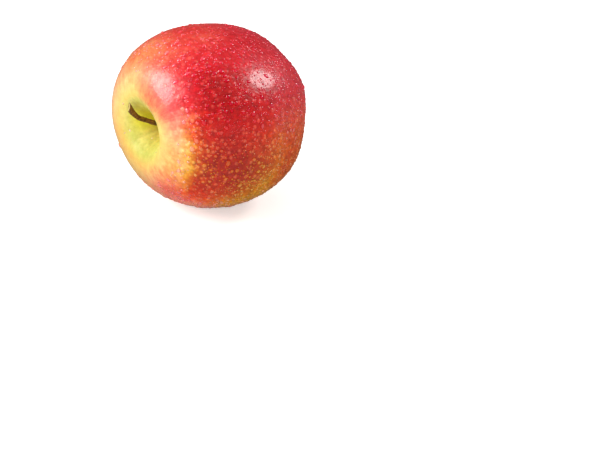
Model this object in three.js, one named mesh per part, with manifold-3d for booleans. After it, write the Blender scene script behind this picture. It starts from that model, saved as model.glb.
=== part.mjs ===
// A ripe dessert apple, lying on its flank on a small flat resting spot.
//
// The apple is built upright in its own frame: +Z runs along the core towards the stem, and the
// origin is at mid height on the core's line. The group then lays it down, with the stem end
// towards -X and a little raised. Millimetres throughout.
import * as THREE from "three";
import { mergeVertices } from "three/addons/utils/BufferGeometryUtils.js";
import Module from "manifold-3d";

const wasm = await Module();
wasm.setup();

// Fruit: half outline
const BELLY_RADIUS = 38;
const BELLY_Z = 2;
const SHOULDER_RADIUS = 15;
const SHOULDER_Z = 33.7;
const CAVITY_DEPTH = 19;
const CAVITY_FLARE = 2.2;
const CROWN_RADIUS = 15.2;
const CROWN_Z = -34.7;
const BASIN_DEPTH = 8;
const BASIN_FLARE = 2;
const SOCKET_RADIUS = 1.8;
const SOCKET_DEPTH = 4.5;
const EYE_RADIUS = 2.9;
const EYE_DEPTH = 4;
const SEGMENTS_ROUND = 72;

// Fruit: how it departs from a turned shape. Angles are in degrees round +Z, from +X.
const OVAL = { share: -0.035, at: 350 };
const THREE_SIDED = { share: -0.018, at: 72 };
const FIVE_LOBED = { share: 0.026, at: 236 };
const LOBES_AT_SHOULDER = 0.35;
const SHOULDER_SLOPE = { rise: 0.116, at: 348 };
const CROWN_SLOPE = { drop: 0.12, at: 23 };
const CROWN_KNOB = { height: 0.8, width: 9.5 };

// How it lies
const STEM_END_RAISED = THREE.MathUtils.degToRad(6);
const FLAT_DEPTH = 0.8;
const LAID_DOWN = new THREE.Quaternion().setFromAxisAngle(
  new THREE.Vector3(0, 1, 0),
  STEM_END_RAISED - Math.PI / 2,
);

// Stem
const GAP = 0.4;
const STEM_LINE = [
  [0, 0, SHOULDER_Z - CAVITY_DEPTH - SOCKET_DEPTH + GAP],
  [0, 0.2, 15],
  [0, 0.7, 20],
  [0.6, 1.7, 24.5],
  [1.8, 3.6, 28],
  [3.1, 4.8, 31.4],
  [5.4, 5.4, 33.9],
  [7.9, 5.7, 35.6],
];
const STEM_BASE_RADIUS = SOCKET_RADIUS - GAP;
const STEM_WAIST_RADIUS = 1;
const STEM_TIP_RADIUS = 1.3;
const STEM_BASE_SHARE = 0.22;
const STEM_TIP_SHARE = 0.14;
const STEM_SIDES = 16;
const STEM_STEPS = 22;

// Calyx
const SEPAL_COUNT = 5;
const SEPAL = { length: 6.4, width: 3.3, thickness: 0.5, curl: 5.2, leanIn: 8, out: 0.7, clear: 1.3 };
const STAMEN_COUNT = 9;
const STAMEN = { length: 4.2, radius: 0.28, spread: 0.9 };
const TUFT_BASE = { radius: EYE_RADIUS - GAP, height: 1.6 };

const skin = new THREE.MeshStandardMaterial({ color: 0xc8353a, roughness: 0.35, metalness: 0 });
const bark = new THREE.MeshStandardMaterial({ color: 0x5a3c1c, roughness: 0.75, metalness: 0 });
const driedLeaf = new THREE.MeshStandardMaterial({ color: 0x6b4a2a, roughness: 0.9, metalness: 0 });
const driedThread = new THREE.MeshStandardMaterial({ color: 0x4a3320, roughness: 0.95, metalness: 0 });

const wave = (angle, term, count) => Math.cos(count * (angle - THREE.MathUtils.degToRad(term.at)));
const share = (value, from, to) => THREE.MathUtils.clamp((value - from) / (to - from), 0, 1);

// Points from the stem's socket up the cavity wall, not including the shoulder's crest.
function cavityOutline(steps = 9) {
  const floor = SHOULDER_Z - CAVITY_DEPTH - SOCKET_DEPTH;
  const points = [new THREE.Vector2(0, floor), new THREE.Vector2(SOCKET_RADIUS, floor)];
  for (let i = 0; i < steps; i++) {
    const t = i / steps;
    const r = THREE.MathUtils.lerp(SOCKET_RADIUS, SHOULDER_RADIUS, t);
    points.push(new THREE.Vector2(r, SHOULDER_Z - CAVITY_DEPTH * (1 - t) ** CAVITY_FLARE));
  }
  return points;
}

// Two quarter ellipses: crest of the shoulder to the belly, and belly to the crown of the calyx end.
function flankOutline(steps = 12) {
  const points = [];
  for (let i = 0; i <= steps; i++) {
    const u = (i / steps) * (Math.PI / 2);
    const r = SHOULDER_RADIUS + (BELLY_RADIUS - SHOULDER_RADIUS) * Math.sin(u);
    points.push(new THREE.Vector2(r, BELLY_Z + (SHOULDER_Z - BELLY_Z) * Math.cos(u)));
  }
  for (let i = 1; i <= steps; i++) {
    const u = (i / steps) * (Math.PI / 2);
    const r = CROWN_RADIUS + (BELLY_RADIUS - CROWN_RADIUS) * Math.cos(u);
    points.push(new THREE.Vector2(r, BELLY_Z + (CROWN_Z - BELLY_Z) * Math.sin(u)));
  }
  return points;
}

// Points from the crown up the basin to the eye and the core's line.
function basinOutline(steps = 6) {
  const points = [];
  for (let i = 1; i <= steps; i++) {
    const t = i / steps;
    const r = THREE.MathUtils.lerp(CROWN_RADIUS, EYE_RADIUS, t);
    points.push(new THREE.Vector2(r, CROWN_Z + BASIN_DEPTH * t ** BASIN_FLARE));
  }
  const eyeFloor = CROWN_Z + BASIN_DEPTH + EYE_DEPTH;
  points.push(new THREE.Vector2(EYE_RADIUS, eyeFloor), new THREE.Vector2(0, eyeFloor));
  return points;
}

// Moves one point of the turned shape to where the grown fruit has it.
function grow(p) {
  const r = Math.hypot(p.x, p.y);
  const angle = Math.atan2(p.y, p.x);
  const down = share(p.z, BELLY_Z, CROWN_Z);
  const up = share(p.z, BELLY_Z, SHOULDER_Z);
  const lobes = wave(angle, FIVE_LOBED, 5);
  const lobeShare = FIVE_LOBED.share * THREE.MathUtils.lerp(LOBES_AT_SHOULDER, 1, down);
  const oval = OVAL.share * wave(angle, OVAL, 2);
  const sided = THREE_SIDED.share * wave(angle, THREE_SIDED, 3);
  const scale = 1 + oval + sided + lobeShare * lobes;
  const knob = CROWN_KNOB.height * Math.exp(-(((r - CROWN_RADIUS) / CROWN_KNOB.width) ** 2));
  const rise = r * SHOULDER_SLOPE.rise * up * wave(angle, SHOULDER_SLOPE, 1);
  const drop = r * CROWN_SLOPE.drop * down * wave(angle, CROWN_SLOPE, 1);
  p.set(p.x * scale, p.y * scale, p.z + rise - drop - knob * down * lobes);
}

// Presses the lowest side of the lying fruit flat.
function pressFlat(points) {
  const down = new THREE.Vector3(0, 0, -1).applyQuaternion(LAID_DOWN.clone().invert());
  const reach = Math.max(...points.map((p) => p.dot(down))) - FLAT_DEPTH;
  for (const p of points) p.addScaledVector(down, Math.min(0, reach - p.dot(down)));
}

function fruitGeometry() {
  const outline = [...cavityOutline(), ...flankOutline(), ...basinOutline()];
  const turned = new THREE.LatheGeometry(outline.reverse(), SEGMENTS_ROUND).rotateX(Math.PI / 2);
  const geometry = bare(turned);
  const position = geometry.getAttribute("position");
  const points = [];
  for (let i = 0; i < position.count; i++) {
    points.push(new THREE.Vector3().fromBufferAttribute(position, i));
  }
  points.forEach(grow);
  pressFlat(points);
  return geometry.setFromPoints(points);
}

// A geometry with positions and faces only, its shared vertices merged.
function bare(geometry) {
  geometry.deleteAttribute("normal");
  geometry.deleteAttribute("uv");
  return mergeVertices(geometry, 1e-4);
}

// A round rod along a line of points, closed at both ends, its radius given by a function of 0 to 1.
function rod(line, radiusAt, sides, steps) {
  const curve = new THREE.CatmullRomCurve3(line.map((p) => new THREE.Vector3(...p)));
  const outline = [new THREE.Vector2(0, 0)];
  for (let i = 0; i <= steps; i++) outline.push(new THREE.Vector2(radiusAt(i / steps), i / steps));
  outline.push(new THREE.Vector2(0, 1));
  const geometry = bare(new THREE.LatheGeometry(outline, sides));
  const frames = curve.computeFrenetFrames(steps);
  const position = geometry.getAttribute("position");
  const p = new THREE.Vector3();
  for (let i = 0; i < position.count; i++) {
    p.fromBufferAttribute(position, i);
    const at = Math.round(p.y * steps);
    const place = curve.getPointAt(at / steps);
    place.addScaledVector(frames.normals[at], p.z).addScaledVector(frames.binormals[at], p.x);
    position.setXYZ(i, place.x, place.y, place.z);
  }
  return geometry;
}

// Thick where it grows from the socket, slim along its length, and knobbed at the tip.
function stemRadius(t) {
  const base = (STEM_BASE_RADIUS - STEM_WAIST_RADIUS) * Math.exp(-((t / STEM_BASE_SHARE) ** 2));
  const tip = (STEM_TIP_RADIUS - STEM_WAIST_RADIUS) * Math.exp(-(((1 - t) / STEM_TIP_SHARE) ** 2));
  return STEM_WAIST_RADIUS + base + tip;
}

function stemGeometry() {
  return rod(STEM_LINE, stemRadius, STEM_SIDES, STEM_STEPS);
}

// A pointed leaf-shaped plate that curls back along its length: width X, length Z, growing from Z = 0.
function sepalGeometry() {
  const { length, width, thickness, curl } = SEPAL;
  const leaf = new THREE.Shape();
  leaf.moveTo(-width * 0.3, 0);
  leaf.bezierCurveTo(-width * 0.75, length * 0.45, -width * 0.12, length * 0.8, 0, length);
  leaf.bezierCurveTo(width * 0.12, length * 0.8, width * 0.75, length * 0.45, width * 0.3, 0);
  leaf.closePath();
  const plate = new THREE.ExtrudeGeometry(leaf, {
    depth: thickness,
    bevelEnabled: false,
    curveSegments: 10,
  });
  const geometry = bare(plate);
  const position = geometry.getAttribute("position");
  for (let i = 0; i < position.count; i++) {
    const bend = position.getY(i) / curl;
    const r = curl + position.getZ(i);
    position.setXYZ(i, position.getX(i), curl - r * Math.cos(bend), r * Math.sin(bend));
  }
  return geometry;
}

function solidOf(geometry) {
  const vertProperties = geometry.getAttribute("position").array;
  const triVerts = new Uint32Array(geometry.index.array);
  return new wasm.Manifold(new wasm.Mesh({ numProp: 3, vertProperties, triVerts }));
}

function geometryOf(solid) {
  const { vertProperties, triVerts } = solid.getMesh();
  const geometry = new THREE.BufferGeometry();
  geometry.setAttribute("position", new THREE.BufferAttribute(vertProperties, 3));
  return geometry.setIndex(new THREE.BufferAttribute(triVerts, 1));
}

// The withered stamens: a low plug with thin threads splaying out of it.
function tuftGeometry() {
  const { radius, height } = TUFT_BASE;
  const outline = [
    new THREE.Vector2(0, 0),
    new THREE.Vector2(radius * 0.8, 0),
    new THREE.Vector2(radius, height * 0.5),
    new THREE.Vector2(radius * 0.7, height),
    new THREE.Vector2(0, height * 0.8),
  ];
  const plug = bare(new THREE.LatheGeometry(outline, 14).rotateX(Math.PI / 2));
  let solid = solidOf(plug);
  for (let i = 0; i < STAMEN_COUNT; i++) {
    const turn = (i / STAMEN_COUNT) * 2 * Math.PI;
    const reach = height + STAMEN.length * (i % 2 ? 0.8 : 1);
    const foot = radius * 0.5;
    const tip = foot + STAMEN.spread * (i % 3 ? 0.35 : 0.8);
    const at = (r, z, extra) => [r * Math.cos(turn + extra), r * Math.sin(turn + extra), z];
    const line = [at(foot, height * 0.4, 0), at(foot, height + 1, 0.1), at(tip, reach, 0.3)];
    const thread = rod(line, (t) => STAMEN.radius * (1 - 0.4 * t), 6, 5);
    solid = solid.add(solidOf(thread));
  }
  return geometryOf(solid);
}

function mesh(name, geometry, material) {
  const made = new THREE.Mesh(geometry, material);
  made.name = name;
  return made;
}

const lying = new THREE.Group();
lying.quaternion.copy(LAID_DOWN);
lying.add(mesh("fruit", fruitGeometry(), skin));
lying.add(mesh("stem", stemGeometry(), bark));

// The calyx hangs in the basin: its own +Z points out of the eye, away from the stem.
const calyx = new THREE.Group();
calyx.rotation.x = Math.PI;
calyx.position.z = CROWN_Z + BASIN_DEPTH;
lying.add(calyx);

for (let i = 0; i < SEPAL_COUNT; i++) {
  const arm = new THREE.Group();
  arm.rotation.z = ((i + 0.5) / SEPAL_COUNT) * 2 * Math.PI;
  const sepal = mesh(`sepal_${i + 1}`, sepalGeometry(), driedLeaf);
  sepal.position.set(0, EYE_RADIUS + SEPAL.out, SEPAL.clear);
  sepal.rotation.x = THREE.MathUtils.degToRad(SEPAL.leanIn);
  arm.add(sepal);
  calyx.add(arm);
}

const tuft = mesh("stamen_tuft", tuftGeometry(), driedThread);
tuft.position.z = GAP - EYE_DEPTH;
calyx.add(tuft);

// The part's origin is under the middle of its box, on the surface it lies on.
const apple = new THREE.Group();
apple.add(lying);
const box = new THREE.Box3().setFromObject(lying, true);
const middle = box.getCenter(new THREE.Vector3());
lying.position.set(-middle.x, -middle.y, -box.min.z);

export default apple;
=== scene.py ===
"""A ripe apple with fine water droplets, lying on a white studio floor.

The apple's own frame, used throughout for its surface, has its origin inside the fruit on the
core's line, +Z towards the stem, and +X as nearly up as the tilt allows. `around` is the angle
round that line from +X, in degrees, and `latitude` runs from 0 at the stem end, past 0.13 at the
shoulder's crest and 0.48 at the belly, to 1 at the calyx end.
"""
import math
import random

import bmesh
import bpy
import numpy as np
from mathutils import Matrix, Vector, noise


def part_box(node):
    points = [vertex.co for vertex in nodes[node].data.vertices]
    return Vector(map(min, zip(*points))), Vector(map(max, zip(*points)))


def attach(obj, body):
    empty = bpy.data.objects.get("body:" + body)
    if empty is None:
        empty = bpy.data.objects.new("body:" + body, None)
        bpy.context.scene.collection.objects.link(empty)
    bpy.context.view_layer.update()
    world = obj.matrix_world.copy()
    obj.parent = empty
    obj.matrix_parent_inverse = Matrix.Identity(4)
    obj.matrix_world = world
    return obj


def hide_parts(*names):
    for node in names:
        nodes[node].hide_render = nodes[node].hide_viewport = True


MM = 0.001
SEED = 11

# Camera: pitched down but not rolled, with a long lens
CAMERA_YAW, CAMERA_PITCH = math.radians(-39.9), math.radians(25.7)
LENS, SENSOR = 100.0, 36.0
CAMERA_DISTANCE = 0.679
CAMERA_SEES = (0.01, 50.0)  # nearest and farthest
OBJECT_IN_FRAME = (-0.1443, 0.1863)  # the fruit's middle from the picture's, in picture widths

# Studio
FLOOR_SIZE, FLOOR_WHITE = 12.0, 0.9
FLOOR_LIFT, FLOOR_GLOW = 0.45, 0.10  # the sheet's own light, as the eye gets it and as the fruit does
FLOOR_MIRRORED = 0.07  # how much of the sheet's white the skin's gloss mirrors
FILL = 0.57  # even light from all round
ROOM_GLOSS = 0.06  # what the skin's gloss mirrors of the room
# name, azimuth, elevation, distance, width, height, power, and whether the skin's gloss mirrors it
LAMPS = (
    ("left_softbox", -112, 38.5, 1.0, 0.54, 0.95, 10.0, True),
    ("right_softbox", 72, 37, 1.0, 0.35, 0.31, 3.5, True),
    ("front_fill", -12, 3, 1.6, 1.6, 0.9, 8.5, False),
    ("stem_end_fill", -84, 12, 1.2, 0.5, 0.5, 1.5, False),
)

# Apple
BELLY = 38 * MM
WELD = 0.002 * MM
PAIRING_ANGLE = math.radians(60)  # triangles that meet at less than this are paired to quads
CORE_MIDDLE = 0.69  # of the way from the eye's floor to the stem socket's floor

# Skin pigments: what each colour channel keeps with none, and what one unit of each absorbs
CREAM = (0.93, 0.86, 0.36)
RED_ABSORBS = (0.08, 1.00, 0.61)
YELLOW_ABSORBS = (0.06, 0.23, 1.00)
GREEN_ABSORBS = (1.00, 0.40, 0.70)

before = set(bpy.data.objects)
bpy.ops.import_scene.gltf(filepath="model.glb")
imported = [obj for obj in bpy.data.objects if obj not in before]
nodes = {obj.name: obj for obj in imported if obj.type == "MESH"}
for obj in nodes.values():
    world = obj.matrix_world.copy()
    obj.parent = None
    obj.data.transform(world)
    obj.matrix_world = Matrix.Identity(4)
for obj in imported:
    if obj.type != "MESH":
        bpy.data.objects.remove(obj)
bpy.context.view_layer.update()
draw = random.Random(SEED)


def srgb(text):
    """A hex colour as the linear RGBA that shaders take."""
    parts = [int(text[i : i + 2], 16) / 255 for i in (0, 2, 4)]
    return [p / 12.92 if p <= 0.04045 else ((p + 0.055) / 1.055) ** 2.4 for p in parts] + [1.0]


def smooth(value, low, high):
    """Smooth step, 0 at low and 1 at high."""
    t = min(1.0, max(0.0, (value - low) / (high - low)))
    return t * t * (3 - 2 * t)


# ---------------------------------------------------------------- node building


class Web:
    """A node tree and short ways to build it."""

    def __init__(self, tree):
        self.tree = tree

    @classmethod
    def material(cls, name):
        made = bpy.data.materials.new(name)
        made.use_nodes = True
        web = cls(made.node_tree)
        web.made = made
        web.shader = web.tree.nodes["Principled BSDF"]
        return web

    def node(self, kind, **settings):
        made = self.tree.nodes.new("ShaderNode" + kind)
        for name, value in settings.items():
            setattr(made, name, value)
        return made

    def put(self, socket, value):
        if isinstance(value, bpy.types.NodeSocket):
            self.tree.links.new(value, socket)
        else:
            socket.default_value = value

    def shade(self, **values):
        """Sets the shader's sockets by name, with _ for a space."""
        for name, value in values.items():
            self.put(self.shader.inputs[name.replace("_", " ")], value)

    def math(self, operation, *values):
        made = self.node("Math", operation=operation)
        for socket, value in zip(made.inputs, values):
            self.put(socket, value)
        return made.outputs[0]

    def sum(self, *values):
        total = values[0]
        for value in values[1:]:
            total = self.math("ADD", total, value)
        return total

    def product(self, *values):
        total = values[0]
        for value in values[1:]:
            total = self.math("MULTIPLY", total, value)
        return total

    def line(self, value, factor, offset):
        """value times factor, plus offset."""
        return self.math("MULTIPLY_ADD", value, factor, offset)

    def vector(self, x, y, z):
        made = self.node("CombineXYZ")
        for socket, value in zip(made.inputs, (x, y, z)):
            self.put(socket, value)
        return made.outputs[0]

    def span(self, value, low, high, to_low=0.0, to_high=1.0):
        """Smooth step of value from low..high to to_low..to_high."""
        made = self.node("MapRange", interpolation_type="SMOOTHSTEP")
        names = ("Value", "From Min", "From Max", "To Min", "To Max")
        for name, v in zip(names, (value, low, high, to_low, to_high)):
            self.put(made.inputs[name], v)
        return made.outputs[0]

    def noise(self, vector, scale, detail=2.0, roughness=0.5):
        """Noise about 0, mostly within half a unit either way."""
        made = self.node("TexNoise")
        names = ("Vector", "Scale", "Detail", "Roughness")
        for name, v in zip(names, (vector, scale, detail, roughness)):
            self.put(made.inputs[name], v)
        return self.line(made.outputs["Fac"], 2.0, -1.0)

    def cells(self, vector, scale):
        """Scattered points: the distance to the nearest, and a random number that goes with it."""
        made = self.node("TexVoronoi")
        self.put(made.inputs["Vector"], vector)
        self.put(made.inputs["Scale"], scale)
        split = self.node("SeparateColor")
        self.put(split.inputs[0], made.outputs["Color"])
        return made.outputs["Distance"], split.outputs[0]

    def mix(self, factor, a, b):
        made = self.node("Mix", data_type="RGBA", clamp_factor=True)
        self.put(made.inputs["Factor"], factor)
        for socket, value in ((made.inputs[6], a), (made.inputs[7], b)):
            self.put(socket, srgb(value) if isinstance(value, str) else value)
        return made.outputs[2]

    def ramp(self, factor, *stops):
        """stops are (position, hex colour)."""
        made = self.node("ValToRGB")
        points = made.color_ramp.elements
        while len(points) < len(stops):
            points.new(0.5)
        for point, (position, colour) in zip(points, stops):
            point.position = position
            point.color = srgb(colour)
        self.put(made.inputs[0], factor)
        return made.outputs[0]

    def bump(self, height, strength, distance, normal=None):
        made = self.node("Bump")
        self.put(made.inputs["Height"], height)
        made.inputs["Strength"].default_value = strength
        made.inputs["Distance"].default_value = distance
        if normal is not None:
            self.put(made.inputs["Normal"], normal)
        return made.outputs[0]

    def core_point(self):
        """The place on the surface in the apple's own frame, in belly radii."""
        return self.node("TexCoord", object=core).outputs["Object"]

    def attribute(self, name):
        return self.node("Attribute", attribute_name=name).outputs["Fac"]


# ---------------------------------------------------------------- mesh building


def welded(node):
    """A CAD node's mesh with its shared vertices joined and its triangles paired to quads."""
    bm = bmesh.new()
    bm.from_mesh(nodes[node].data)
    bmesh.ops.remove_doubles(bm, verts=bm.verts, dist=WELD)
    bmesh.ops.join_triangles(bm, faces=bm.faces, angle_face_threshold=PAIRING_ANGLE,
                             angle_shape_threshold=PAIRING_ANGLE)
    return bm


def core_matrix():
    """The apple's own frame, in belly radii, from the two points where all its meridians meet."""
    bm = welded("fruit")
    poles = sorted(bm.verts, key=lambda v: -len(v.link_edges))[:2]
    eye, socket = sorted((v.co.copy() for v in poles), key=lambda p: -p.x)
    bm.free()
    z = (socket - eye).normalized()
    x = (Vector((0, 0, 1)) - z * z.z).normalized()
    turn = Matrix((x, z.cross(x), z)).transposed().to_4x4()
    return Matrix.Translation(eye.lerp(socket, CORE_MIDDLE)) @ turn @ Matrix.Scale(BELLY, 4)


CORE = core_matrix()
TO_CORE = CORE.inverted()
core = bpy.data.objects.new("core", None)
core.matrix_world = CORE
bpy.context.scene.collection.objects.link(core)
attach(core, "root")


def add_piece(name, mesh, material, replaced):
    """Shows the mesh in place of CAD nodes."""
    made = bpy.data.objects.new(name, mesh)
    bpy.context.scene.collection.objects.link(made)
    mesh.materials.clear()
    mesh.materials.append(material)
    mesh.shade_smooth()
    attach(made, "root")
    if replaced:
        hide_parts(*replaced)
    return made


def subdivided(bm, name, levels):
    """The mesh after smooth subdivision, as plain mesh data. Frees bm."""
    coarse = bpy.data.meshes.new(name)
    bm.to_mesh(coarse)
    bm.free()
    holder = bpy.data.objects.new(name, coarse)
    bpy.context.scene.collection.objects.link(holder)
    holder.modifiers.new("smooth", "SUBSURF").levels = levels
    view = bpy.context.evaluated_depsgraph_get()
    fine = bpy.data.meshes.new_from_object(holder.evaluated_get(view))
    bpy.data.objects.remove(holder)
    return fine


# ---------------------------------------------------------------- skin

# Where the red pigment sits: middle and half width round the core in degrees, amount, and the
# latitudes where it starts, is full, begins to wane and has gone down to the last share.
RED_SIDES = (
    (330, 360, 0.7, 0.12, 0.34, 0.45, 0.80, 0.7),
    (335, 124, 2.1, 0.13, 0.50, 0.50, 0.80, 0.7),
    (306, 36, 1.6, 0.10, 0.30, 0.45, 0.60, 0.4),
    (332, 46, 0.9, 0.08, 0.17, 0.30, 0.60, 0.6),
    (292, 50, 1.5, 0.26, 0.36, 0.38, 0.58, 0.1),
    (308, 24, 1.9, 0.25, 0.33, 0.50, 0.62, 0.0),
    (300, 26, 0.8, 0.26, 0.31, 0.36, 0.44, 0.0),
    (232, 26, 0.9, 0.27, 0.31, 0.34, 0.42, 0.0),
    (249, 28, -0.45, 0.20, 0.25, 0.26, 0.32, 0.0),
    (12, 50, -0.3, 0.22, 0.28, 0.34, 0.42, 0.0),
    (252, 44, -1.1, 0.38, 0.45, 0.52, 0.62, 0.2),
    (214, 40, 0.8, 0.14, 0.24, 0.26, 0.36, 0.0),
    (348, 30, 1.0, 0.48, 0.56, 0.66, 0.80, 0.2),
    (351, 15, -1.0, 0.37, 0.42, 0.44, 0.49, 0.0),
    (306, 38, 1.2, 0.22, 0.275, 0.34, 0.42, 0.0),
    (280, 26, -0.35, 0.20, 0.23, 0.25, 0.28, 0.0),
    (200, 40, 0.25, 0.14, 0.18, 0.24, 0.30, 0.0),
    (20, 40, 0.20, 0.14, 0.19, 0.23, 0.30, 0.0),
    (319, 16, -0.6, 0.42, 0.45, 0.48, 0.52, 0.0),
)
# Where the yellow pigment sits, in the same terms.
YELLOW_SIDES = (
    (264, 48, 5.2, 0.21, 0.30, 0.42, 0.56, 0.25),
    (248, 38, 3.9, 0.22, 0.31, 0.62, 0.82, 0.5),
    (5, 70, 0.6, 0.18, 0.26, 0.45, 0.60, 0.2),
    (240, 48, 0.75, 0.15, 0.21, 0.27, 0.34, 0.0),
    (150, 90, 0.30, 0.08, 0.12, 0.20, 0.30, 0.0),
    (20, 40, 0.35, 0.14, 0.19, 0.23, 0.30, 0.0),
    (258, 42, 0.85, 0.25, 0.31, 0.37, 0.46, 0.0),
    (290, 28, 0.7, 0.19, 0.235, 0.27, 0.33, 0.0),
)
# Where a little green dulls and darkens the skin, in the same terms. The first row, on the lower side
# round 222 degrees, is painted shade.
DULL_AND_PAINTED_SHADE_SIDES = (
    (222, 60, 0.24, 0.32, 0.46, 0.80, 0.95, 0.5),
    (250, 50, 0.10, 0.18, 0.28, 0.40, 0.60, 0.5),
    (150, 110, 0.18, 0.06, 0.11, 0.22, 0.32, 0.0),
    (290, 44, 0.22, 0.48, 0.56, 0.66, 0.78, 0.3),
)
MIST_SCALE = 17.0  # beads per belly radius
# A painted glint colour for the mist's beads
MIST_PAINTED_GLINT = "f2b4a6"
MIST_REACH = 175  # degrees round the core from the middle of the wet side to where the mist ends
DRY_SIDE = 95  # the middle of the driest side, in degrees round the core
CAVITY_SHADE = (75, 60)  # the cavity's wall that only the rest of the cavity lights, with painted bounce light from the cavity's yellow walls: middle, half width
LENTICEL_SCALE = 15.0
LENTICEL_PALE = "e8a883"
AXIS_CLEARANCE = 0.001  # belly radii, so that nothing is divided by 0 on the core's line

# Latitudes between which the skin changes
CAVITY_RIM = (0.10, 0.15)
CAVITY_SHADED = (0.115, 0.07)
CAVITY_FLOOR = (0.02, 0.11)
CALYX_END = (0.84, 0.95)
WAXED = (0.09, 0.15)
MIST_STARTS, MIST_ENDS = (0.13, 0.24), (0.93, 0.86)


def skin_coordinates(web):
    """(cos around, sin around, latitude, point) as sockets."""
    point = web.core_point()
    split = web.node("SeparateXYZ")
    web.put(split.inputs[0], point)
    x, y, z = split.outputs
    radius = web.math("SQRT", web.sum(web.product(x, x), web.product(y, y)))
    radius = web.math("MAXIMUM", radius, AXIS_CLEARANCE)
    latitude = web.math("DIVIDE", web.math("ARCTAN2", radius, z), math.pi)
    return web.math("DIVIDE", x, radius), web.math("DIVIDE", y, radius), latitude, point


def side(web, cosine, sine, middle, half_width):
    """1 in the middle direction round the core, falling smoothly to 0 half a width away."""
    a = math.radians(middle)
    facing = web.sum(web.product(cosine, math.cos(a)), web.product(sine, math.sin(a)))
    angle = web.math("ARCCOSINE", web.math("MINIMUM", web.math("MAXIMUM", facing, -1.0), 1.0))
    return web.span(angle, math.radians(half_width), 0.0)


def skin_growth(web):
    """What the skin's colour and the water on it both need, as sockets: the three pigments, the
    mottle, the latitude, how misty it is, and the point."""
    cosine, sine, latitude, point = skin_coordinates(web)

    def meridional(round_scale, along_scale, *detail):
        stretched = web.vector(web.product(cosine, round_scale), web.product(sine, round_scale),
                               web.product(latitude, along_scale))
        return web.noise(stretched, 1.0, *detail)

    wide_streaks = meridional(8, 5, 3.0)
    fine_streaks = meridional(40, 14, 3.0, 0.6)
    cloud = web.noise(point, 2.4, 3.0)
    mottle = web.noise(point, 13.0, 4.0, 0.65)
    shifted = web.sum(latitude, web.product(wide_streaks, 0.022), web.product(fine_streaks, 0.010),
                      web.product(mottle, 0.025), web.product(cloud, 0.05))

    def sides(places):
        parts = []
        for middle, half, amount, start, full, wanes, low, share in places:
            rising = web.span(shifted, start, full, 0.0, amount)
            waning = web.span(shifted, wanes, low, 1.0, share)
            parts.append(web.product(rising, side(web, cosine, sine, middle, half), waning))
        return web.sum(*parts)

    # Painted bounce light in the cavity's dim wall: below, it gets less red, more yellow and none of
    # the green
    shade = web.product(side(web, cosine, sine, *CAVITY_SHADE), web.span(latitude, *CAVITY_SHADED))

    streaks = web.sum(web.product(fine_streaks, 0.22), web.product(mottle, 0.40),
                      web.product(cloud, 0.25), web.product(wide_streaks, 0.15))
    red = web.product(sides(RED_SIDES), web.math("ADD", streaks, 1.0),
                      web.span(latitude, *CALYX_END, 1.0, 0.35))
    red = web.sum(red, web.span(latitude, *CAVITY_RIM, 0.1, 0.32), web.product(mottle, 0.15),
                  web.product(fine_streaks, 0.09), web.product(shade, -0.7))

    yellow = web.product(sides(YELLOW_SIDES), web.math("ADD", web.product(cloud, -0.5), 1.0))
    yellow = web.sum(yellow, web.span(latitude, 0.10, 0.22, 0.75, 0.1),
                     web.span(latitude, *CALYX_END, 0.0, 1.4),
                     web.product(cloud, 0.4), web.product(mottle, 0.2),
                     web.span(latitude, *CAVITY_FLOOR, 1.0, 0.0), web.product(shade, 2.4))

    green = web.product(web.span(latitude, *CAVITY_RIM[::-1], 0.0, 0.33),
                        web.math("ADD", web.sum(cloud, mottle), 1.0), web.line(shade, -1.0, 1.0))
    # A little green that dulls the skin, with painted shade on the lower side
    green = web.sum(green, sides(DULL_AND_PAINTED_SHADE_SIDES))

    wet = web.product(web.span(latitude, *MIST_STARTS), web.span(latitude, *MIST_ENDS),
                      side(web, cosine, sine, DRY_SIDE + 180, MIST_REACH))
    return (red, yellow, green), mottle, latitude, wet, point


def pigment_colour(web, red, yellow, green, cream=CREAM):
    """What each channel keeps of the cream after the pigments absorb their part."""
    kept = []
    for channel, r, y, g in zip(cream, RED_ABSORBS, YELLOW_ABSORBS, GREEN_ABSORBS):
        depth = web.sum(web.product(red, -r), web.product(yellow, -y), web.product(green, -g))
        kept.append(web.product(web.math("EXPONENT", depth), channel))
    return web.vector(*kept)


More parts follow.
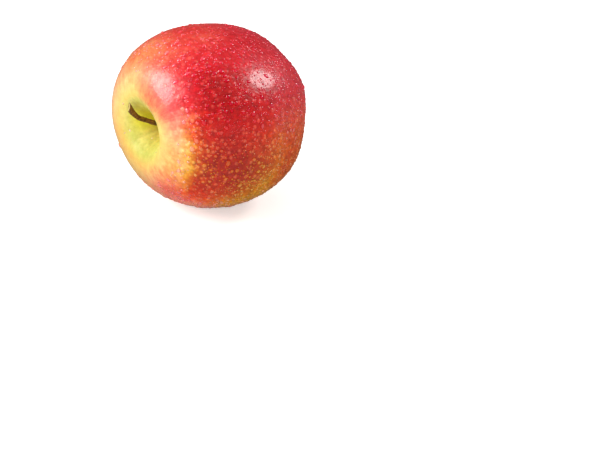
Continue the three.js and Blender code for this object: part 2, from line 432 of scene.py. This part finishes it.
def skin_material():
    """Skin: pigments under a cream, with mist, lenticels and a thin wax."""
    web = Web.material("apple_skin")
    (red, yellow, green), mottle, latitude, wet, point = skin_growth(web)

    # Mist: beads of water too small for pieces of their own, painted with less pigment than between
    # them as the light they gather
    gap, kind = web.cells(point, MIST_SCALE)
    bead = web.product(web.span(gap, 0.46, 0.18), web.span(kind, 0.0, 0.5), wet)
    red = web.product(red, web.line(bead, -0.35, 1.12))
    yellow = web.product(yellow, web.line(bead, -0.4, 1.12))

    # Lighter and darker specks where it is wet, painted glints and shade of the mist, and beads painted
    # paler
    specks = web.product(web.noise(point, 18.0, 3.0, 0.75), wet, 0.8)
    tone = web.sum(specks, web.product(bead, 0.14), 0.97)
    cream = [web.product(tone, c) for c in CREAM]
    colour = pigment_colour(web, red, yellow, green, cream)
    # Painted glint on each bead
    colour = web.mix(web.product(bead, 0.065), colour, MIST_PAINTED_GLINT)

    # Lenticels, none in the cavity
    spacing, size = web.cells(point, LENTICEL_SCALE)
    dot = web.product(web.span(spacing, 0.17, 0.09), web.span(size, 0.5, 0.7),
                      web.span(latitude, 0.14, 0.26))
    web.shade(Base_Color=web.mix(web.product(dot, 0.35), colour, LENTICEL_PALE))

    # Wax: gloss that varies a little, none in the cavity, and fine unevenness
    outside = web.span(latitude, *WAXED)
    web.shade(Roughness=web.sum(web.span(mottle, -0.4, 0.4, 0.32, 0.42), web.line(outside, -0.3, 0.3)))
    web.shade(Specular_IOR_Level=0.5, Coat_Weight=web.product(outside, 0.46), Coat_Roughness=0.17)
    web.shade(Subsurface_Weight=0.12, Subsurface_Scale=0.004, Subsurface_Radius=(1.0, 0.35, 0.15))
    normal = web.bump(web.noise(point, 9.0, 2.0), 0.15, 0.0008)
    normal = web.bump(web.noise(point, 36.0, 1.0), 0.35, 0.0002, normal)
    normal = web.bump(bead, 0.6, 0.0003, normal)
    web.shade(Normal=normal)
    return web.made


LUMPS = (  # (wavelengths per belly radius, height)
    (1.3, 0.35 * MM),
    (4.0, 0.10 * MM),
)
CAVITY_FOLD = 0.5 * MM
CAVITY_REACH = (0.34, 0.16)  # from the core's line, in belly radii: where the folds start and are full
FOLDS_ROUND, FOLDS_PLACE = 3, 4.0  # how many there are, and which part of the noise they are cut from
STEADY_BELOW = 4 * MM  # the skin moves less, the nearer the floor it is


def grow_unevenly(mesh):
    """Moves the smooth skin by fractions of a millimetre, as it grows, but not where it rests."""
    places = [v.co.copy() for v in mesh.vertices]
    normals = [v.normal.copy() for v in mesh.vertices]
    for vertex, place, normal in zip(mesh.vertices, places, normals):
        p = TO_CORE @ place
        around = math.atan2(p.y, p.x)
        lift = sum(height * noise.noise(p * scale) for scale, height in LUMPS)
        in_cavity = smooth(math.hypot(p.x, p.y), *CAVITY_REACH) * (p.z > 0)
        fold = Vector((math.cos(around) * FOLDS_ROUND, math.sin(around) * FOLDS_ROUND, FOLDS_PLACE))
        lift += in_cavity * CAVITY_FOLD * noise.noise(fold)
        vertex.co = place + normal * lift * smooth(place.z, 0, STEADY_BELOW)


def make_skin():
    """The whole fruit's skin, from the eye to the stem's socket."""
    mesh = subdivided(welded("fruit"), "skin", 2)
    grow_unevenly(mesh)
    return add_piece("skin", mesh, skin_material(), ["fruit"])


# ---------------------------------------------------------------- stem

CUT_FACES = Vector((-0.90, 0.38, 0.20)).normalized()  # the way the broken tip's face looks
CUT_TILTS = (0.84, 0.98)  # shares of the length where the rings start to tilt and lie along the cut
CUT_REACH = (2.0 * MM, 1.5 * MM)  # from the tip's middle: where the broken face ends and is full
CUT_SUNK = 0.25 * MM
CUT_RIM_CREASE = 0.8
BARK_RIDGE, RIDGES_ROUND, RIDGES_ALONG = 0.144 * MM, 2.6, 5
BARK_KNOT, KNOTS_PER_METRE = 0.05 * MM, 700


def stem_rings(bm):
    """The stem's vertices in rings, from the pole deep in the cavity to the tip's."""
    poles = sorted(bm.verts, key=lambda v: -len(v.link_edges))[:2]
    base = max(poles, key=lambda v: v.co.x)
    rings, seen = [[base]], {base}
    while True:
        found = {e.other_vert(v) for v in rings[-1] for e in v.link_edges} - seen
        if not found:
            return rings
        seen |= found
        rings.append(sorted(found, key=lambda v: v.index))


def middle_of(vertices):
    return sum((v.co for v in vertices), Vector()) / len(vertices)


def make_stem():
    """The stem with ridged bark and a slanting broken tip."""
    bm = welded("stem")
    bm.verts.ensure_lookup_table()
    rings = stem_rings(bm)
    middles = [middle_of(ring) for ring in rings]
    along = (middles[-1] - middles[-4]).normalized()
    slope = 1.0 / along.dot(CUT_FACES)
    for step, ring in enumerate(rings):
        tilt = smooth(step / (len(rings) - 1), *CUT_TILTS)
        for v in ring:
            out = v.co - middles[step]
            v.co -= along * out.dot(CUT_FACES) * slope * tilt
    crease = bm.edges.layers.float.new("crease_edge")
    rim = set(rings[-2])
    for edge in bm.edges:
        if edge.verts[0] in rim and edge.verts[1] in rim:
            edge[crease] = CUT_RIM_CREASE
    mesh = subdivided(bm, "stem_bark", 2)
    share, cut = [], []
    places = [v.co.copy() for v in mesh.vertices]
    normals = [v.normal.copy() for v in mesh.vertices]
    for vertex, place, normal in zip(mesh.vertices, places, normals):
        nearest = min(range(len(middles)), key=lambda i: (middles[i] - place).length_squared)
        t = nearest / (len(middles) - 1)
        out = (place - middles[nearest]).normalized()
        face = smooth((place - middles[-1]).length, *CUT_REACH)
        face *= smooth(normal.dot(CUT_FACES), 0.75, 0.95)
        ridge = noise.noise(out * RIDGES_ROUND + Vector((0, 0, t * RIDGES_ALONG)))
        knot = noise.noise(place * KNOTS_PER_METRE)
        vertex.co = place + normal * (1 - face) * (BARK_RIDGE * ridge + BARK_KNOT * knot)
        vertex.co -= CUT_FACES * CUT_SUNK * face
        share.append(t)
        cut.append(face)
    for name, values in (("along", share), ("cut", cut)):
        mesh.attributes.new(name, "FLOAT", "POINT").data.foreach_set("value", values)
    return add_piece("stem_bark", mesh, bark_material(), ["stem"])


def bark_material():
    """Olive where it is young and shaded, brown further out, with a pale pithy broken end."""
    web = Web.material("stem_bark")
    point = web.core_point()
    along = web.attribute("along")
    fibre = web.noise(point, 55.0, 3.0, 0.6)
    blotch = web.noise(point, 16.0, 2.0)
    outer = web.ramp(web.line(fibre, 0.5, 0.5), (0.2, "341c05"), (0.5, "6b400e"), (0.8, "a87a2a"))
    inner = web.ramp(web.line(fibre, 0.5, 0.5), (0.3, "3c3a04"), (0.7, "6a6412"))
    bark = web.mix(web.span(web.sum(along, web.product(blotch, 0.2)), 0.35, 0.62), inner, outer)
    pith = web.ramp(web.line(fibre, 0.5, 0.5), (0.2, "9c8440"), (0.6, "c9b468"), (0.9, "ddcc8a"))
    web.shade(Base_Color=web.mix(web.attribute("cut"), bark, pith))
    web.shade(Roughness=web.span(fibre, -0.4, 0.4, 0.5, 0.7), Specular_IOR_Level=0.35)
    web.shade(Normal=web.bump(fibre, 0.5, 0.0003))
    return web.made


# ---------------------------------------------------------------- calyx

SEPALS = ["sepal_%d" % i for i in range(1, 6)]
CRUMPLE = Vector((0.15, 0.25, 0.25)) * MM  # how far, least along the core
CRUMPLES_PER_METRE = 450


def sepal_material():
    web = Web.material("dried_sepal")
    point = web.core_point()
    veins = web.noise(point, 50.0, 4.0, 0.65)
    patch = web.noise(point, 11.0, 2.0)
    colour = web.ramp(web.line(veins, 0.5, 0.5), (0.2, "3a2c16"), (0.5, "6f5a34"), (0.8, "a08c62"))
    colour = web.mix(web.span(patch, 0.0, 0.4), colour, "6d6a38")
    web.shade(Base_Color=colour, Roughness=web.span(veins, -0.4, 0.4, 0.7, 0.9), Specular_IOR_Level=0.2)
    web.shade(Normal=web.bump(veins, 0.6, 0.0003))
    return web.made


def make_sepals():
    """The five sepals, each crumpled in its own way."""
    material = sepal_material()
    for number, node in enumerate(SEPALS):
        mesh = subdivided(welded(node), node, 2)
        for vertex in mesh.vertices:
            place = vertex.co.copy()
            crumple = noise.noise(place * CRUMPLES_PER_METRE + Vector((number * 7, 0, 0)))
            vertex.co = place + CRUMPLE * crumple
        add_piece(node + "_dried", mesh, material, [node])


def stamen_material():
    web = Web.material("dried_stamen")
    grain = web.noise(web.core_point(), 60.0, 3.0, 0.6)
    colour = web.ramp(web.line(grain, 0.5, 0.5), (0.2, "1e140a"), (0.6, "4b3820"), (0.9, "77603c"))
    web.shade(Base_Color=colour)
    web.shade(Roughness=web.span(grain, -0.4, 0.4, 0.6, 0.85), Specular_IOR_Level=0.2)
    return web.made


def make_stamens():
    mesh = subdivided(welded("stamen_tuft"), "stamens", 1)
    return add_piece("stamens_dried", mesh, stamen_material(), ["stamen_tuft"])


# ---------------------------------------------------------------- water

DRY_BELOW = 2.5 * MM  # no water this near the floor
# How the skin's red, yellow and green show in the water's milky share: multiplied by, and added
WATER_SHOWS = ((0.62, 0.13), (0.24, 0.13), (0.2, 0.0))
WATER_CREAM = (1.0, 0.93, 0.74)

# How many; the smallest, largest and likeliest radius in mm; the share of them left past the belly
LARGE_DROPLETS = (340, (0.65, 1.35, 0.8), 0.3)
FINE_DROPLETS = (2300, (0.3, 0.68, 0.42), 1.0)
CAVITY_WATER = 0.01  # as a share of the flank's
FLANK_WETS, BELLY_DRIES, CALYX_DRIES = (0.18, 0.31), (0.36, 0.56), (0.86, 0.93)  # latitudes
CALYX_DRIER = 0.8
BLUSH_POWER = 0.8  # below 1, so that the water reaches further towards the dry side

TRIES = 3  # places drawn for each droplet wanted
WANDER = 0.3 * MM  # how far a droplet strays from the middle of its patch of skin
CLEARANCE = 0.9  # of two droplets' radii together
CELL = 1.2 * MM  # neighbours are looked for at least this far away

# A droplet's shape, in its radii
CONTACT_ANGLE = math.radians(56)
FOOT = 0.12  # how far below its edge it closes
SUNK = 0.06
LONG, WIDE, HIGH = (0.95, 1.25), (0.8, 1.0), (0.5, 0.9)


def wetness(place, past_belly):
    """How many droplets a place holds, from 0 to 1: few in the cavity, most on the blushed flank.

    past_belly is the share left of them on the half away from the stem."""
    p = TO_CORE @ place
    latitude = math.atan2(math.hypot(p.x, p.y), p.z) / math.pi
    if place.z < DRY_BELOW:
        return 0.0
    blushed = 0.5 - 0.5 * math.cos(math.atan2(p.y, p.x) - math.radians(DRY_SIDE))
    wet = CAVITY_WATER + (1 - CAVITY_WATER) * smooth(latitude, *FLANK_WETS) * blushed**BLUSH_POWER
    wet *= 1 - (1 - past_belly) * smooth(latitude, *BELLY_DRIES)
    return wet * (1 - CALYX_DRIER * smooth(latitude, *CALYX_DRIES))


def scattered(mesh, count, radii, past_belly, taken):
    """Places for droplets that keep clear of each other: (place, normal, radius).

    taken holds the droplets placed so far, by the cell of space that each is in."""
    places = [p.center.copy() for p in mesh.polygons]
    normals = [p.normal.copy() for p in mesh.polygons]
    weights = [p.area * wetness(c, past_belly) for p, c in zip(mesh.polygons, places)]
    found = []
    for index in draw.choices(range(len(places)), weights, k=count * TRIES):
        if len(found) == count:
            break
        radius = draw.triangular(*radii) * MM
        normal = normals[index]
        stray = Vector((draw.uniform(-1, 1), draw.uniform(-1, 1), draw.uniform(-1, 1))) * WANDER
        place = places[index] + stray - normal * stray.dot(normal)
        key = tuple(int(math.floor(c / CELL)) for c in place)
        near = (
            other
            for x in (-1, 0, 1) for y in (-1, 0, 1) for z in (-1, 0, 1)
            for other in taken.get((key[0] + x, key[1] + y, key[2] + z), ())
        )
        if any((place - q).length < CLEARANCE * (radius + r) for q, r in near):
            continue
        taken.setdefault(key, []).append((place, radius))
        found.append((place, normal, radius))
    return found


def dome(sides, rings):
    """A unit droplet, a cap that closes below: points, faces, and how near its top each point is."""
    sine, cosine = math.sin(CONTACT_ANGLE), math.cos(CONTACT_ANGLE)
    points = [(0, 0, (1 - cosine) / sine)]
    for ring in range(1, rings + 1):
        tilt = CONTACT_ANGLE * ring / rings
        spread, height = math.sin(tilt) / sine, (math.cos(tilt) - cosine) / sine
        for i in range(sides):
            turn = 2 * math.pi * i / sides
            points.append((spread * math.cos(turn), spread * math.sin(turn), height))
    points.append((0, 0, -FOOT))
    faces = [(0, 1 + i, 1 + (i + 1) % sides) for i in range(sides)]
    for ring in range(rings - 1):
        a = 1 + ring * sides
        for i in range(sides):
            j = (i + 1) % sides
            faces.append((a + i, a + sides + i, a + sides + j, a + j))
    a = 1 + (rings - 1) * sides
    faces += [(len(points) - 1, a + (i + 1) % sides, a + i) for i in range(sides)]
    points = np.array(points)
    return points, faces, np.clip(points[:, 2] / points[0, 2], 0, 1)


def make_droplets(name, spots, sides, rings, material):
    """One piece of all the droplets at spots, each stretched and turned a little differently."""
    points, faces, crown = dome(sides, rings)
    vertices, polygons = [], []
    for place, normal, radius in spots:
        across = normal.orthogonal().normalized()
        across = Matrix.Rotation(draw.uniform(0, 2 * math.pi), 3, normal) @ across
        shape = np.array([
            np.array(across) * radius * draw.uniform(*LONG),
            np.array(normal.cross(across)) * radius * draw.uniform(*WIDE),
            np.array(normal) * radius * draw.uniform(*HIGH),
        ])
        start = len(vertices) * len(points)
        vertices.append(points @ shape + np.array(place - normal * SUNK * radius))
        polygons += [tuple(start + i for i in face) for face in faces]
    mesh = bpy.data.meshes.new(name)
    mesh.from_pydata(np.concatenate(vertices).tolist(), [], polygons)
    crowns = mesh.attributes.new("crown", "FLOAT", "POINT")
    crowns.data.foreach_set("value", np.tile(crown, len(spots)))
    made = add_piece(name, mesh, material, [])
    made.visible_shadow = False


def water_material():
    """Water, with a milky share that stands for the light a droplet gathers, least at its rim."""
    web = Web.material("water")
    pigments, *_, point = skin_growth(web)
    depth = web.span(web.attribute("crown"), 0.2, 0.9, 1.7, 0.8)
    under = []
    for pigment, share in zip(pigments, WATER_SHOWS):
        under.append(web.product(depth, web.line(pigment, *share)))
    web.shade(Base_Color=pigment_colour(web, *under, cream=WATER_CREAM))
    web.shade(Transmission_Weight=0.5, IOR=1.4)
    web.shade(Roughness=web.span(web.noise(point, 30.0, 2.0), -0.4, 0.4, 0.02, 0.08))
    web.shade(Coat_Weight=0.8, Coat_Roughness=0.07)
    return web.made


def make_water(skin):
    """Droplets on the skin: a few large ones, then many fine ones between them."""
    material = water_material()
    taken = {}
    large = scattered(skin.data, *LARGE_DROPLETS, taken)
    fine = scattered(skin.data, *FINE_DROPLETS, taken)
    make_droplets("droplets_large", large, 16, 5, material)
    make_droplets("droplets_fine", fine, 8, 3, material)


# ---------------------------------------------------------------- studio


def make_floor():
    """A wide white sheet. The skin's gloss sees it dim, as under studio flags."""
    bm = bmesh.new()
    bmesh.ops.create_grid(bm, x_segments=8, y_segments=8, size=FLOOR_SIZE / 2)
    mesh = bpy.data.meshes.new("floor")
    bm.to_mesh(mesh)
    bm.free()
    web = Web.material("floor_white")
    path = web.node("LightPath").outputs
    paper = web.noise(web.node("TexCoord").outputs["Object"], 40.0, 3.0)
    dimmed = web.line(mirrored(web, path), FLOOR_MIRRORED - 1.0, 1.0)
    white = web.product(dimmed, web.span(paper, -0.6, 0.6, 0.985, 1.0), FLOOR_WHITE)
    web.shade(Base_Color=web.vector(white, white, white), Roughness=0.9, Specular_IOR_Level=0.0)
    glow = web.sum(web.product(path["Is Camera Ray"], FLOOR_LIFT),
                   web.product(path["Is Diffuse Ray"], FLOOR_GLOW))
    web.shade(Emission_Color=(1, 1, 1, 1), Emission_Strength=glow)
    web.made.cycles.emission_sampling = "NONE"
    made = bpy.data.objects.new("floor", mesh)
    mesh.materials.append(web.made)
    bpy.context.scene.collection.objects.link(made)


def make_softbox(name, azimuth, elevation, distance, width, height, power, glossy):
    """A soft lamp aimed at the fruit's middle. Azimuth is round from -Y towards +X."""
    a, e = math.radians(azimuth), math.radians(elevation)
    back = Vector((math.sin(a) * math.cos(e), -math.cos(a) * math.cos(e), math.sin(e)))
    data = bpy.data.lights.new(name, "AREA")
    data.shape = "ELLIPSE"
    data.size, data.size_y, data.energy = width, height, power
    lamp = bpy.data.objects.new(name, data)
    lamp.location = MIDDLE + back * distance
    lamp.rotation_euler = back.to_track_quat("Z", "Y").to_euler()
    lamp.visible_camera = False
    lamp.visible_glossy = glossy
    bpy.context.scene.collection.objects.link(lamp)


def mirrored(web, path):
    """1 for a ray that gloss sends, 0 for any other."""
    return web.product(path["Is Glossy Ray"], web.line(path["Is Transmission Ray"], -1.0, 1.0))


def make_surroundings():
    """White to the eye, an even light on everything, and a dark room to the skin's gloss."""
    world = bpy.data.worlds.new("studio")
    world.use_nodes = True
    world.cycles.sampling_method = "NONE"  # so that each kind of ray gets its own brightness
    bpy.context.scene.world = world
    web = Web(world.node_tree)
    path = web.node("LightPath").outputs
    background = web.tree.nodes["Background"]
    background.inputs["Color"].default_value = (1, 1, 1, 1)
    level = web.line(path["Is Camera Ray"], 1.0 - FILL, FILL)
    web.put(background.inputs["Strength"], web.line(mirrored(web, path), ROOM_GLOSS - FILL, level))


def make_camera():
    data = bpy.data.cameras.new("camera")
    data.lens, data.sensor_width = LENS, SENSOR
    data.clip_start, data.clip_end = CAMERA_SEES
    eye = bpy.data.objects.new("camera", data)
    eye.rotation_euler = (math.pi / 2 - CAMERA_PITCH, 0, CAMERA_YAW)
    across = SENSOR / LENS * CAMERA_DISTANCE
    offset = Vector((-OBJECT_IN_FRAME[0] * across, -OBJECT_IN_FRAME[1] * across, CAMERA_DISTANCE))
    eye.location = MIDDLE + eye.rotation_euler.to_matrix() @ offset
    bpy.context.scene.collection.objects.link(eye)
    bpy.context.scene.camera = eye


skin = make_skin()
make_stem()
make_sepals()
make_stamens()
make_water(skin)

low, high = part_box("fruit")
MIDDLE = (low + high) / 2
make_floor()
for lamp in LAMPS:
    make_softbox(*lamp)
make_surroundings()
make_camera()
bpy.context.scene.view_settings.view_transform = "Standard"
